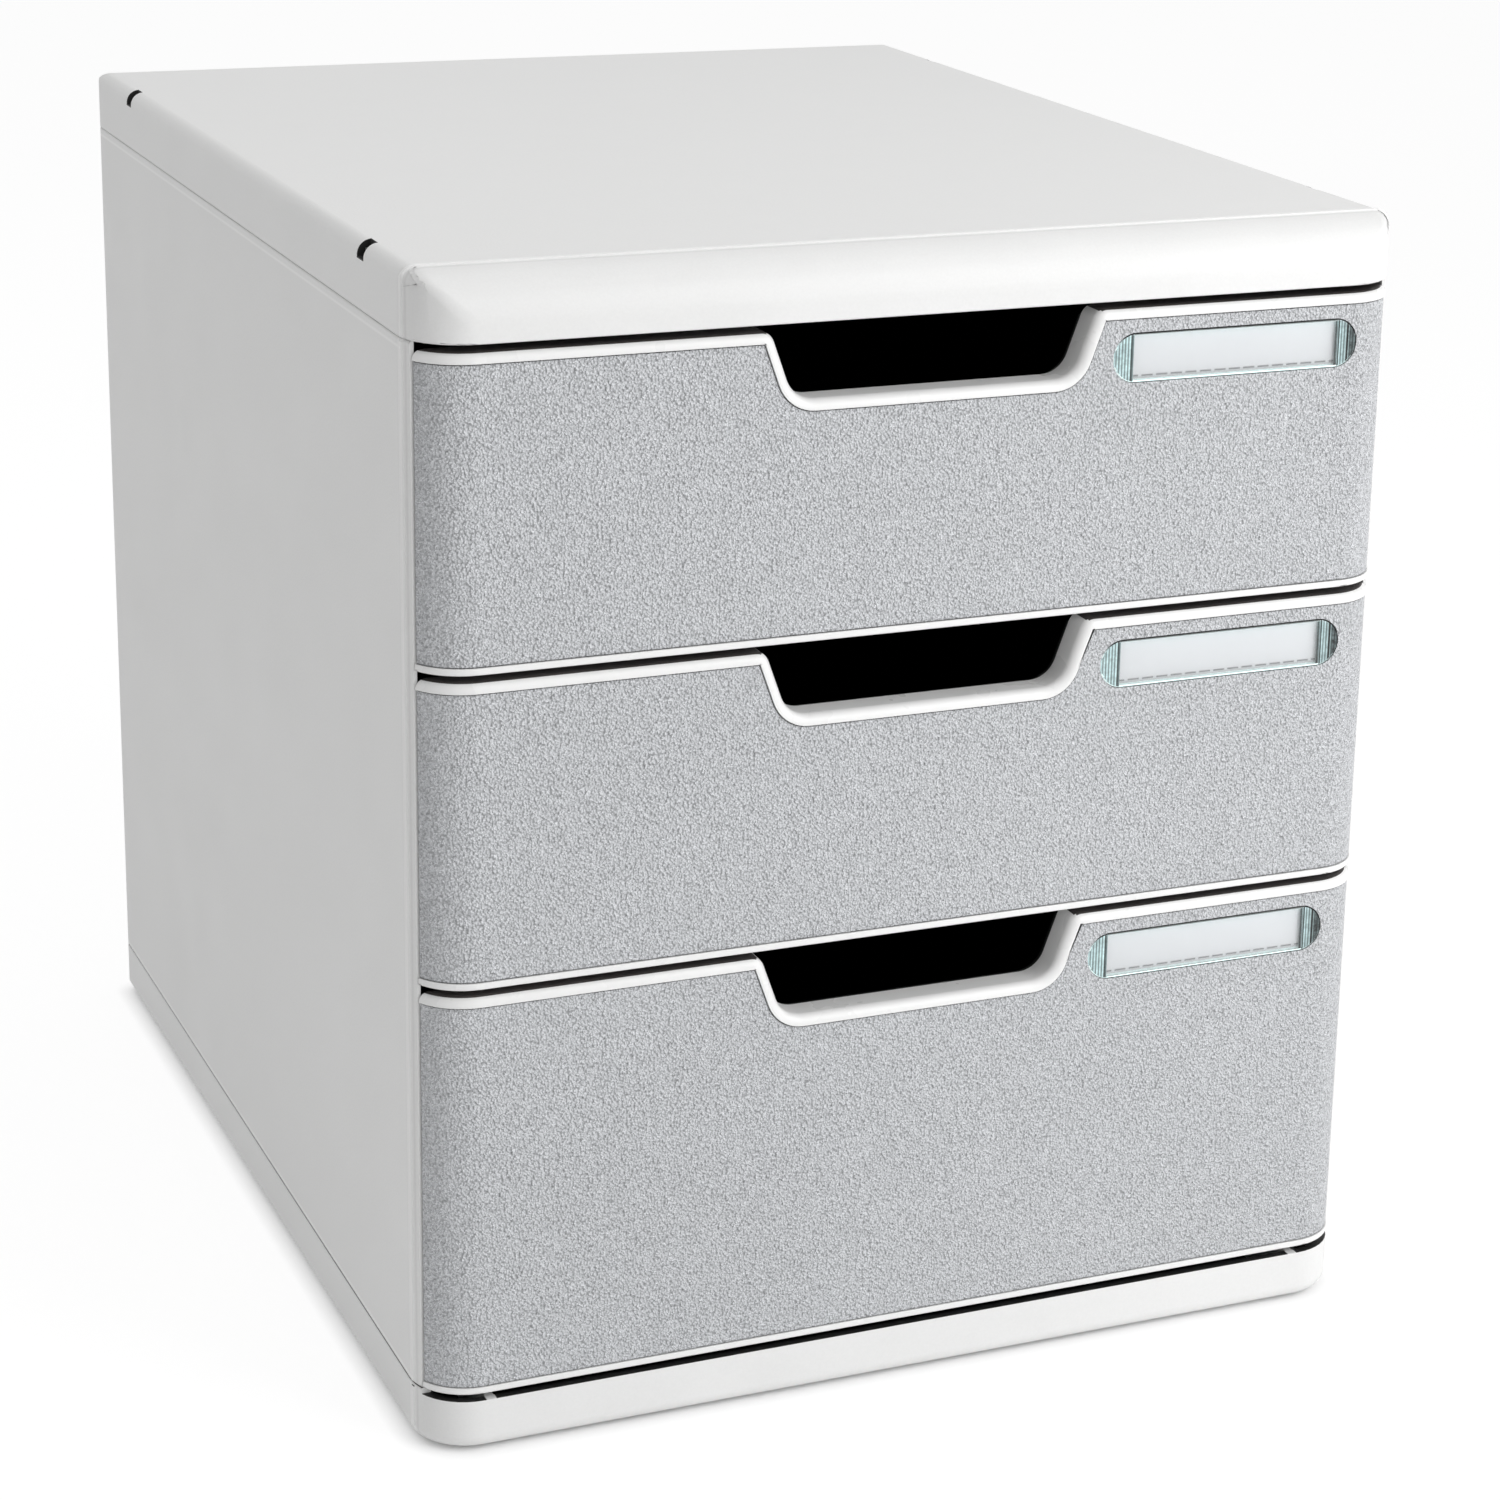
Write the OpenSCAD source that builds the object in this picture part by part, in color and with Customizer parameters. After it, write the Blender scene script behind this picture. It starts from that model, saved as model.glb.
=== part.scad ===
// Desktop file drawer: a moulded casing with three A4 drawers on side runners.
// Millimetres. +Z is up, the drawers face -Y, the origin is the middle of the footprint on the table.

/* [Casing] */
// Width of the casing, without its bead
casing_w = 280; // [250:1:340]
// Depth of the casing, drawer fronts included
casing_d = 355; // [330:1:420]
// Height from the table to the flat top
casing_h = 320; // [310:1:380]
// Thickness of the casing's walls
wall = 2.5; // [2.3:0.1:3.5]
// Radius of the front corners, seen from above
front_corner_r = 16; // [12:0.5:20]
// Radius of the rear corners, seen from above
rear_corner_r = 5; // [3.5:0.5:8]
// Rounding of the edges along the seams
seam_r = 0.7; // [0.3:0.1:1]
// Width of the raised bead that runs round the casing behind its front
bead_w = 1.4; // [0.8:0.1:2.5]
// Height of the raised bead
bead_h = 0.4; // [0.2:0.1:0.6]
// Height of the joint tabs on the panels' upper and lower edges
tab_h = 5; // [3:0.5:7]
// Length of each joint tab
tab_l = 14; // [8:1:24]
// Thickness of each joint tab
tab_t = 1; // [0.8:0.1:1.2]
// Clearance round each joint tab
tab_gap = 0.15; // [0.1:0.05:0.3]

/* [Top cover] */
// Height of the cover's skirt
cover_h = 18; // [16:0.5:24]
// Radius of the rounded nose along the cover's front edge
nose_r = 13.5; // [8:0.5:14]
// Radius of the cover's side edges
cover_edge_r = 4; // [2:0.5:6]
// Radius of the cover's rear edge
cover_rear_r = 8; // [3:0.5:10]
// Distance of the stacking slots from the middle, front and rear
slot_y = 130; // [100:1:150]
// Length of a stacking slot
slot_l = 6; // [4:0.5:12]
// Reach of a stacking slot in from the side
slot_in = 3.8; // [3:0.1:6]
// Depth of a stacking slot down from the top
slot_deep = 4.5; // [3:0.5:8]

/* [Base] */
// Height of the base's side and rear walls
base_h = 17.3; // [16:0.1:24]
// Height of the base's front rail
rail_h = 15.5; // [12:0.1:15.9]
// Radius of the base's lower edges, front and sides
base_edge_r = 4; // [2:0.5:6]
// Radius of the base's lower rear edge
base_rear_r = 6; // [2:0.5:8]
// Distance of the base's ribs from the middle
rib_x = 122; // [100:1:126]
// Thickness of the base's ribs
rib_t = 2.5; // [1.5:0.1:4]
// Height of the stacking notches in the base's lower side edges
notch_h = 1.3; // [0.8:0.1:2]
// Reach of the stacking notches in from the side
notch_in = 1.8; // [1:0.1:2.2]
// Length of the front stacking notches
front_notch_l = 12; // [6:1:24]
// Length of the rear stacking notches
rear_notch_l = 30; // [6:1:50]
// Place of the rear stacking notches behind the middle
rear_notch_y = 120; // [90:1:140]

/* [Feet] */
// Radius of a foot
foot_r = 7; // [5:0.5:10]
// How far the feet stand out below the base
foot_out = 1; // [0.5:0.1:2]
// How deep the feet are set into the base
foot_in = 1; // [0.5:0.1:1.5]
// Distance of the feet from the middle, sideways
foot_x = 108; // [80:1:112]
// Distance of the feet from the middle, front and rear
foot_y = 148; // [110:1:155]
// Clearance round a foot in its recess
foot_gap = 0.2; // [0.1:0.1:0.4]

/* [Drawer fronts] */
// Height of the two small drawer fronts; the lower one takes the rest
small_front_h = 82.8; // [75:0.1:90]
// Gap above and below each drawer front
front_gap = 1.9; // [1:0.1:3]
// Depth of a drawer front
front_t = 9; // [8:0.5:11]
// Clearance between a closed front and the casing behind it
seat_gap = 0.5; // [0.3:0.1:1]
// Thickness of the bezel's top rim and of its rim round the finger cut-out
rim_top = 3.1; // [2.2:0.1:4]
// Thickness of the bezel's bottom rim
rim_bottom = 2.1; // [1.5:0.1:3]
// Width of the bezel's seat on the tray's front wall
bezel_seat = 3; // [2:0.5:6]
// Thickness of the bezel's web behind the plate
web_t = 2; // [1.2:0.1:2.5]
// Thickness of the front plate
plate_t = 2.3; // [1.8:0.1:2.6]
// How far the front plate lies behind the rims
plate_back = 0.4; // [0.2:0.1:0.8]
// Clearance round the front plate
plate_gap = 0.15; // [0.1:0.05:0.3]

/* [Finger cut-out] */
// Depth of the cut-out in the front plate, from the top of the drawer front
grip_deep = 21.3; // [16:0.1:30]
// Half width of the cut-out in the plate, where its sides meet its floor
grip_half_w = 41.7; // [30:0.1:50]
// Lean of the cut-out's sides
grip_lean = 20; // [5:1:30]
// Corner radius of the cut-out in the plate
grip_r = 11; // [7:0.5:12]
// Radius of the rim's shoulders at the top of the cut-out
shoulder_r = 4; // [2:0.5:5]

/* [Label] */
// Distance of the label window from where the finger cut-out's side meets its floor
label_grip_gap = 9.3; // [6:0.1:14]
// Distance of the label window from the casing's side
label_side_gap = 15; // [12:0.5:20]
// Distance of the label window below the top of the drawer front
label_down = 13.6; // [12:0.1:18]
// Height of the label window
label_h = 13.5; // [9:0.5:16]
// Thickness of the label window
window_t = 1.5; // [1:0.1:1.6]
// Length of the window's ribbed end on each side of the label card
card_end = 6; // [5.6:0.1:9]
// Height of the label card
card_h = 12.2; // [8:0.1:12.6]
// Thickness of the label card
card_t = 0.3; // [0.2:0.1:0.4]
// Clearance round the label window and its card
label_gap = 0.1; // [0.05:0.05:0.2]
// Number of grip ribs at each end of the window
window_ribs = 5; // [0:1:6]
// Pitch of the window's grip ribs
window_rib_pitch = 1; // [0.8:0.1:1.1]
// Depth of the grooves between the window's grip ribs
window_groove = 0.35; // [0.2:0.05:0.6]

/* [Drawer trays] */
// Thickness of the tray's walls
tray_wall = 2; // [1.5:0.1:2.5]
// Thickness of the tray's floor
tray_floor = 2; // [1.5:0.1:3]
// Gap between a tray and the casing's side walls
tray_side_gap = 4; // [3.4:0.1:6]
// Gap between a tray and the back panel
tray_rear_gap = 6; // [2:0.5:12]
// How far the tray's walls stay below the top of the drawer front
tray_drop = 6; // [4:0.5:20]
// Corner radius of a tray, seen from above
tray_corner_r = 7; // [3:0.5:12]
// Play between the tray's own cut-out and the rim round it
tray_grip_play = 0.5; // [0.2:0.1:2]

/* [Runners] */
// How far a drawer slides out
travel = 280; // [200:1:290]
// Width of a runner's ledge
ledge_w = 13; // [8:0.5:13]
// Thickness of a runner's ledge
ledge_t = 2; // [1.5:0.1:2.5]
// Clearance between a tray and its runners
slide_gap = 0.3; // [0.2:0.05:0.5]
// Thickness of a runner's upright web
runner_t = 1.6; // [1.2:0.1:2]
// Height of a runner's upright web above the foot of the drawer front
runner_h = 32; // [24:1:40]
// How far a stop stands out, on the runner and on the tray
stop_out = 1.9; // [1.4:0.1:2]
// Length of each stop
stop_l = 9; // [5:0.5:14]
// Height of each stop
stop_h = 8; // [4:0.5:10]
// Height of the stops above the foot of the drawer front
stop_z = 20; // [14:0.5:22]
// Clearance left between the stops of a drawer that is fully out
stop_gap = 0.5; // [0.2:0.1:1]

/* [Hidden] */
$fn = 96;

// Overlap of a cutter past the face that it cuts
eps = 1;
half_w = casing_w / 2;
front_y = -casing_d / 2;
rear_y = casing_d / 2;
// Back of the drawer fronts, and front of the casing's side walls
front_back_y = front_y + front_t;
casing_front_y = front_back_y + seat_gap;
cover_z = casing_h - cover_h;
// Rear edge of the nose, which is the rear edge of the bead too
nose_y = front_y + nose_r;
inner_half_w = half_w - wall;
floor_top = foot_out + wall;

// Foot and height of the drawer fronts, from the top one down
large_front_h = cover_z - rail_h - 2 * small_front_h - 4 * front_gap;
front_h = [small_front_h, small_front_h, large_front_h];
front_z = [
    cover_z - front_gap - small_front_h,
    cover_z - 2 * front_gap - 2 * small_front_h,
    rail_h + front_gap
];

// The label window fills the room between the cut-out and the side of the front
label_l = half_w - label_side_gap - grip_half_w - label_grip_gap;
label_x = half_w - label_side_gap - label_l / 2;
card_l = label_l - 2 * card_end;

tray_half_w = inner_half_w - tray_side_gap;
tray_rear_y = rear_y - wall - tray_rear_gap;
tray_lift = ledge_t + slide_gap;
// Front of the stops near the rear of each tray
tray_stop_y = tray_rear_y - tray_corner_r - stop_l;
tab_x = half_w - wall / 2;
tab_places = [-0.38, -0.13, 0.13, 0.38];
back_tab_places = [-0.3, 0, 0.3];

casing_grey = [0.87, 0.87, 0.86];
rim_white = [0.93, 0.93, 0.92];
plate_grey = [0.68, 0.70, 0.72];
tray_black = [0.12, 0.12, 0.13];
runner_grey = [0.72, 0.73, 0.73];
rubber_grey = [0.25, 0.25, 0.26];
window_tint = [0.72, 0.88, 0.87];
card_white = [0.95, 0.96, 0.97];

// ---- outlines ----

// Cutter that rounds one corner of a rectangle; sx and sy point out of the corner
module corner_cut(x, y, r, sx, sy) {
    if (r > 0) {
        difference() {
            translate([x - (sx < 0 ? eps : r), y - (sy < 0 ? eps : r)]) square(r + eps);
            translate([x - sx * r, y - sy * r]) circle(r);
        }
    }
}

// Rectangle with its own radius at each corner: low left, low right, high right, high left
module rounded(x0, x1, y0, y1, radii) {
    difference() {
        translate([x0, y0]) square([x1 - x0, y1 - y0]);
        corner_cut(x0, y0, radii[0], -1, -1);
        corner_cut(x1, y0, radii[1], 1, -1);
        corner_cut(x1, y1, radii[2], 1, 1);
        corner_cut(x0, y1, radii[3], -1, 1);
    }
}

// The casing seen from above, drawn in by a distance
module plan(inset) {
    r_front = front_corner_r - inset;
    r_rear = max(rear_corner_r - inset, 0);
    rounded(-half_w + inset, half_w - inset, front_y + inset, rear_y - inset,
            [r_front, r_front, r_rear, r_rear]);
}

// Extrudes a drawing of X and Z along Y
module along_y(y0, y1) {
    translate([0, y1, 0]) rotate([90, 0, 0]) linear_extrude(y1 - y0) children();
}

// Extrudes a drawing of Y and Z along X
module along_x(x0, x1) {
    translate([x0, 0, 0]) rotate([90, 0, 90]) linear_extrude(x1 - x0) children();
}

// Finger cut-out of a front whose top is at z, drawn in from the plate's edge by a distance
function grip_floor(z, inset) = z - grip_deep + inset;
function grip_half(inset) = grip_half_w + inset * tan(grip_lean) - inset / cos(grip_lean);
function grip_side(z, inset, at_z) = grip_half(inset) + (at_z - grip_floor(z, inset)) * tan(grip_lean);

module grip(z, inset) {
    r = grip_r - inset;
    floor_z = grip_floor(z, inset);
    centre_x = grip_half(inset) - r * tan(45 - grip_lean / 2);
    touch = [centre_x + r * cos(grip_lean), floor_z + r - r * sin(grip_lean)];
    brim = [grip_side(z, inset, z + eps), z + eps];
    polygon([
        [-centre_x, floor_z], [centre_x, floor_z], touch, brim,
        [-brim[0], brim[1]], [-touch[0], touch[1]]
    ]);
    for (side = [-1, 1]) translate([side * centre_x, floor_z + r]) circle(r);
}

// What rounds the shoulders of the rim above the cut-out
module shoulders(z, inset) {
    edge_x = grip_side(z, inset, z);
    centre_x = edge_x + shoulder_r * tan(45 - grip_lean / 2);
    centre = [centre_x, z - shoulder_r];
    touch = [centre_x - shoulder_r * cos(grip_lean), z - shoulder_r + shoulder_r * sin(grip_lean)];
    for (side = [0, 1]) mirror([side, 0]) difference() {
        polygon([[edge_x - eps, z + eps], [centre_x, z + eps], centre, touch, [touch[0] - eps, touch[1]]]);
        translate(centre) circle(shoulder_r);
    }
}

// Stadium round the label's place
module stadium(z, l, h) {
    translate([label_x, z - label_down]) {
        square([l - h, h], center = true);
        for (side = [-1, 1]) translate([side * (l - h) / 2, 0]) circle(h / 2);
    }
}

// ---- casing ----

// A body with the casing's outline, drawn in by a distance, between a foot and a top
module casing_block(z0, z1, inset) {
    translate([0, 0, z0]) linear_extrude(z1 - z0) plan(inset);
}

// Cutter that rounds the edge of the front corners at a height; up is 1 at a top edge, -1 at a lower one
module corner_edges(z, r, up) {
    for (side = [0, 1]) mirror([side, 0, 0])
        translate([half_w - front_corner_r, front_y + front_corner_r, 0])
            rotate([0, 0, -90]) rotate_extrude(angle = 90) corner_cut(front_corner_r, z, r, 1, up);
}

// Casing block with rounded edges: low front, low side and low rear radius, then the same at the top
module shaped_block(z0, z1, low, high) {
    difference() {
        intersection() {
            casing_block(z0, z1, 0);
            along_y(front_y, rear_y)
                rounded(-half_w, half_w, z0, z1, [low[1], low[1], high[1], high[1]]);
            along_x(-half_w, half_w)
                rounded(front_y, rear_y, z0, z1, [low[0], low[2], high[2], high[0]]);
        }
        corner_edges(z0, low[1], -1);
        corner_edges(z1, high[1], 1);
    }
}

// Joint tabs along a panel's edge, or with a clearance the slots for them
module side_tabs(z, gap) {
    for (place = tab_places)
        translate([tab_x, place * casing_d, z])
            cube([tab_t + 2 * gap, tab_l + 2 * gap, 2 * (tab_h + gap)], center = true);
}

module back_tabs(z, gap) {
    for (place = back_tab_places)
        translate([place * casing_w, rear_y - wall / 2, z])
            cube([tab_l + 2 * gap, tab_t + 2 * gap, 2 * (tab_h + gap)], center = true);
}

module all_tabs(z, gap) {
    for (side = [0, 1]) mirror([side, 0, 0]) side_tabs(z, gap);
    back_tabs(z, gap);
}

// Upright part of the bead, on the sides between two heights
module bead(z0, z1) {
    intersection() {
        casing_block(z0, z1, -bead_h);
        difference() {
            translate([-casing_w, nose_y - bead_w, z0]) cube([2 * casing_w, bead_w, z1 - z0]);
            casing_block(z0 - eps, z1 + eps, seam_r);
        }
    }
}

// Part of the bead over the top, which turns down at the cover's side edges
module bead_arch() {
    edge = cover_edge_r + bead_h;
    intersection() {
        casing_block(cover_z + seam_r, casing_h + bead_h, -bead_h);
        along_y(nose_y - bead_w, nose_y)
            rounded(-half_w - bead_h, half_w + bead_h, cover_z, casing_h + bead_h, [0, 0, edge, edge]);
    }
}

module top_cover() {
    color(casing_grey) difference() {
        union() {
            shaped_block(cover_z, casing_h, [seam_r, seam_r, seam_r], [nose_r, cover_edge_r, cover_rear_r]);
            bead_arch();
        }
        // Hollow below the top, and a lower one under the nose
        intersection() {
            casing_block(cover_z - eps, casing_h - wall, wall);
            translate([-half_w, nose_y, 0]) cube([casing_w, casing_d, casing_h]);
        }
        casing_block(cover_z - eps, casing_h - nose_r, wall);
        for (side = [-1, 1], end = [-1, 1])
            translate([side * half_w, end * slot_y, casing_h])
                cube([2 * slot_in, slot_l, 2 * slot_deep], center = true);
        all_tabs(cover_z, tab_gap);
    }
}

module stacking_notch(y, l) {
    for (side = [-1, 1])
        translate([side * half_w, y, foot_out]) cube([2 * notch_in, l, 2 * notch_h], center = true);
}

module base_tray() {
    color(casing_grey) difference() {
        union() {
            difference() {
                shaped_block(foot_out, base_h, [base_edge_r, base_edge_r, base_rear_r], [seam_r, seam_r, seam_r]);
                casing_block(floor_top, base_h + eps, wall);
            }
            // The inside keeps the wall's thickness round the lower edges
            intersection() {
                shaped_block(foot_out, base_h, [base_edge_r, base_edge_r, base_rear_r], [0, 0, 0]);
                difference() {
                    casing_block(foot_out, foot_out + base_rear_r, 0);
                    casing_block(floor_top, base_h, base_rear_r);
                }
            }
            bead(foot_out + base_edge_r, base_h - seam_r);
            // Two long ribs stiffen the floor; their ends show in the gap below the lower front
            for (side = [-1, 1])
                translate([side * rib_x - rib_t / 2, front_y + wall, foot_out + foot_in])
                    cube([rib_t, casing_d - 2 * wall, base_h - foot_out - foot_in]);
        }
        // The front is lower than the sides, so that the lower drawer clears it
        translate([-half_w, front_y - eps, rail_h]) cube([casing_w, casing_front_y - front_y + eps, base_h]);
        stacking_notch(-slot_y, front_notch_l);
        stacking_notch(rear_notch_y, rear_notch_l);
        for (side = [-1, 1], end = [-1, 1])
            translate([side * foot_x, end * foot_y, foot_out - eps])
                cylinder(r = foot_r + foot_gap, h = foot_in + eps);
        all_tabs(base_h, tab_gap);
    }
}

module rubber_feet() {
    color(rubber_grey)
        for (side = [-1, 1], end = [-1, 1])
            translate([side * foot_x, end * foot_y, 0]) cylinder(r = foot_r, h = foot_out + foot_in);
}

// The right panel; its front edge follows the rounded corner
module side_panel() {
    intersection() {
        union() {
            shaped_block(base_h, cover_z, [0, seam_r, 0], [0, seam_r, 0]);
            bead(base_h + seam_r, cover_z - seam_r);
        }
        translate([inner_half_w, casing_front_y, 0]) cube([wall + eps, casing_d, casing_h]);
    }
    intersection() {
        union() {
            side_tabs(base_h, 0);
            side_tabs(cover_z, 0);
        }
        translate([0, front_y, base_h - tab_h]) cube([half_w, casing_d, cover_z - base_h + 2 * tab_h]);
    }
}

module right_side_panel() {
    color(casing_grey) side_panel();
}

module left_side_panel() {
    color(casing_grey) mirror([1, 0, 0]) side_panel();
}

module back_panel() {
    color(casing_grey) {
        along_x(-inner_half_w, inner_half_w)
            rounded(rear_y - wall, rear_y, base_h, cover_z, [0, seam_r, seam_r, 0]);
        back_tabs(base_h, 0);
        back_tabs(cover_z, 0);
    }
}

// A runner on the right side: a ledge, a web on the panel, and a stop near its front
module runner(level) {
    z = front_z[level];
    y0 = front_back_y + tray_wall;
    l = rear_y - wall - y0;
    stop_rear_y = tray_stop_y - travel - stop_gap;
    color(runner_grey) {
        translate([inner_half_w - ledge_w, y0, z]) cube([ledge_w, l, ledge_t]);
        translate([inner_half_w - runner_t, y0, z]) cube([runner_t, l, runner_h]);
        translate([inner_half_w - runner_t - stop_out, stop_rear_y - stop_l, z + stop_z])
            cube([stop_out + runner_t, stop_l, stop_h]);
    }
}

// ---- drawers; level 0 is the top one ----

module tray(level) {
    z = front_z[level];
    top = z + front_h[level];
    floor_z = z + tray_lift;
    inner_r = tray_corner_r - tray_wall;
    color(tray_black) {
        difference() {
            translate([0, 0, floor_z]) linear_extrude(top - rim_top - floor_z)
                rounded(-tray_half_w, tray_half_w, front_back_y, tray_rear_y,
                        [0, 0, tray_corner_r, tray_corner_r]);
            translate([0, 0, floor_z + tray_floor]) linear_extrude(casing_h)
                rounded(-tray_half_w + tray_wall, tray_half_w - tray_wall,
                        front_back_y + tray_wall, tray_rear_y - tray_wall,
                        [inner_r, inner_r, inner_r, inner_r]);
            // The sides and the rear stay lower than the front wall
            translate([-half_w, front_back_y + tray_wall, top - tray_drop])
                cube([casing_w, casing_d, tray_drop]);
            along_y(front_back_y - eps, front_back_y + tray_wall + inner_r)
                grip(top, rim_top - tray_grip_play);
        }
        for (side = [0, 1]) mirror([side, 0, 0])
            translate([tray_half_w - tray_wall, tray_stop_y, z + stop_z])
                cube([tray_wall + stop_out, stop_l, stop_h]);
    }
}

// Field of a drawer front that lies between its rims, grown by a distance
module field(z, h, grow) {
    difference() {
        translate([-half_w - eps, z + rim_bottom - grow])
            square([casing_w + 2 * eps, h - rim_top - rim_bottom + 2 * grow]);
        grip(z + h, grow);
    }
}

module bezel(level) {
    z = front_z[level];
    h = front_h[level];
    plate_rear = plate_back + plate_t + plate_gap;
    hollow_half_w = tray_half_w - bezel_seat;
    color(rim_white) difference() {
        intersection() {
            shaped_block(z, z + h, [seam_r, seam_r, 0], [0, 0, 0]);
            translate([-half_w, front_y, z]) cube([casing_w, front_t, h]);
        }
        // Seat of the plate in the front
        difference() {
            along_y(front_y - eps, front_back_y + eps) field(z, h, plate_gap);
            casing_block(z, z + h, plate_rear);
        }
        // Hollow behind the web, inside the seat on the tray
        intersection() {
            casing_block(z, z + h, plate_rear + web_t);
            along_y(front_y, front_back_y + eps) field(z, h, -bezel_seat);
            translate([-hollow_half_w, front_y, z]) cube([2 * hollow_half_w, casing_d, h]);
        }
        along_y(front_y - eps, front_back_y + eps) {
            grip(z + h, rim_top);
            shoulders(z + h, rim_top);
        }
    }
}

module plate(level) {
    z = front_z[level];
    h = front_h[level];
    color(plate_grey) intersection() {
        difference() {
            casing_block(z, z + h, plate_back);
            casing_block(z - eps, z + h + eps, plate_back + plate_t);
        }
        along_y(front_y, front_back_y) difference() {
            field(z, h, 0);
            stadium(z + h, label_l, label_h);
        }
    }
}

module label_window(level) {
    z = front_z[level] + front_h[level];
    y0 = front_y + plate_back;
    slot = window_rib_pitch / 2;
    first = card_l / 2 + window_rib_pitch;
    color(window_tint) difference() {
        along_y(y0, y0 + window_t) stadium(z, label_l - 2 * label_gap, label_h - 2 * label_gap);
        for (side = [-1, 1], i = [0 : 1 : window_ribs - 1])
            translate([label_x + side * (first + i * window_rib_pitch), y0, z - label_down])
                cube([slot, 2 * window_groove, label_h], center = true);
    }
}

module label_card(level) {
    z = front_z[level] + front_h[level] - label_down;
    y0 = front_y + plate_back + window_t + label_gap;
    color(card_white)
        translate([label_x - card_l / 2, y0, z - card_h / 2]) cube([card_l, card_t, card_h]);
}

top_cover();
base_tray();
left_side_panel();
right_side_panel();
back_panel();
rubber_feet();
mirror([1, 0, 0]) runner(0);  // top_left_runner
runner(0);  // top_right_runner
mirror([1, 0, 0]) runner(1);  // middle_left_runner
runner(1);  // middle_right_runner
mirror([1, 0, 0]) runner(2);  // lower_left_runner
runner(2);  // lower_right_runner
tray(0);  // top_drawer_tray
bezel(0);  // top_drawer_bezel
plate(0);  // top_drawer_plate
label_window(0);  // top_drawer_label_window
label_card(0);  // top_drawer_label_card
tray(1);  // middle_drawer_tray
bezel(1);  // middle_drawer_bezel
plate(1);  // middle_drawer_plate
label_window(1);  // middle_drawer_label_window
label_card(1);  // middle_drawer_label_card
tray(2);  // lower_drawer_tray
bezel(2);  // lower_drawer_bezel
plate(2);  // lower_drawer_plate
label_window(2);  // lower_drawer_label_window
label_card(2);  // lower_drawer_label_card
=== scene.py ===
from math import cos, pi, radians, sin, sqrt

import bmesh
import bpy
from mathutils import Matrix, Vector


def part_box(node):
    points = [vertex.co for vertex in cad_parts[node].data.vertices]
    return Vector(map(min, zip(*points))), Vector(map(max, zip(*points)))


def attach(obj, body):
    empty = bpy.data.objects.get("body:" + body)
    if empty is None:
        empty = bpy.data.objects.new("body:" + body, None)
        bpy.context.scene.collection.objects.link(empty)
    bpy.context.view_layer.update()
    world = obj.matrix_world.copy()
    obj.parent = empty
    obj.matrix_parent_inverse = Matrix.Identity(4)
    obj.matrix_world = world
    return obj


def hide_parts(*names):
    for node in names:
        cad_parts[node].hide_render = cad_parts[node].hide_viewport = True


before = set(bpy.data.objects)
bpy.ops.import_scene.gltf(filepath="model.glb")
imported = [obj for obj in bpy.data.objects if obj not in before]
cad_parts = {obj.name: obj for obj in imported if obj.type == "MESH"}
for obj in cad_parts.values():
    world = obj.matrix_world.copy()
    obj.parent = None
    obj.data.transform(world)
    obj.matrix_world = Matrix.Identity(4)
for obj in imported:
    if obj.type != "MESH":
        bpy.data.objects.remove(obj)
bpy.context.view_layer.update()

bl_info = {
    "name": "Desktop file drawer",
    "version": (1, 0, 0),
    "blender": (4, 5, 0),
    "location": "View3D > Sidebar > File drawer",
    "description": "Finishes, label windows and studio for a three-drawer desktop cabinet",
    "category": "Object",
}

LEVELS = ("top", "middle", "lower")
SIDES = ("left", "right")
SHELL_NODES = ("base_tray", "left_side_panel", "right_side_panel", "back_panel")


# ---- places, in metres ----

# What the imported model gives
CASING_FRONT_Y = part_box("left_side_panel")[0].y
COVER_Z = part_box("top_cover")[0].z
BASE_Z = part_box("base_tray")[1].z
FRONT_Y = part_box("top_drawer_bezel")[0].y
WINDOW_LOW, WINDOW_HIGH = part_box("top_drawer_label_window")
WINDOW_X = (WINDOW_LOW.x + WINDOW_HIGH.x) / 2

# The nose ends in a raised bead, with a groove in front of it
NOSE_DEPTH = 0.0135
BEAD_WIDTH = 0.0014
BEAD_Y = FRONT_Y + NOSE_DEPTH - BEAD_WIDTH / 2
# The bead gets a line of painted highlight, the groove and the seams lines of painted shade: their half
# widths and the groove's place
BEAD_HIGHLIGHT_HALF = 0.0012
GROOVE_Y = BEAD_Y - 0.0017
SHADE_LINE_HALF = 0.0007

# Lines of painted highlight along the side panels' borders near the cover, the base and the front
BORDER_UNDER_COVER = 0.0022
BORDER_OVER_BASE = 0.0014
BORDER_BEHIND_FRONT = 0.0019
BORDER_HIGHLIGHT_HALF = 0.0006

# Each slot in the cover's edge is cut from its side and its top
# The slots' inside gets painted shade within these limits
SLOT_FLOOR = 0.3153
SLOT_X = 0.1361
SLOT_Y = 0.130
SLOT_HALF = 0.00303

# The base's inside, which gets painted shade, and its ribs, whose ends show in the gap over its rail and are
# left out of it
INSIDE_LOW = 0.0028
INSIDE_HIGH = BASE_Z + 0.0002
BASE_RIB_X = 0.122
BASE_RIB_HALF = 0.0014


# Marks of painted shade on a label window, measured outwards from the card's ends: a dark band beside each
# end, the right end's groove, where its deep dark starts and ends, and over what length the tone before it
# falls
LEFT_DARK, LEFT_DARK_HALF = 0.0005, 0.0004
RIGHT_DARK, RIGHT_DARK_HALF = 0.0004, 0.0002
RIGHT_GROOVE, RIGHT_GROOVE_HALF = 0.0031, 0.0003
DEEP_START, DEEP_END = 0.0032, 0.0042
SHADE_FALL = 0.003
DASH_HALF = 0.0004


# ---- limits of the finishes and the modelling, and the studio ----

# Nearly all values of a noise lie in this span
NOISE_SPAN = (0.3, 0.7)
# A factor's whole span
FULL = (0.0, 1.0)
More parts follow.
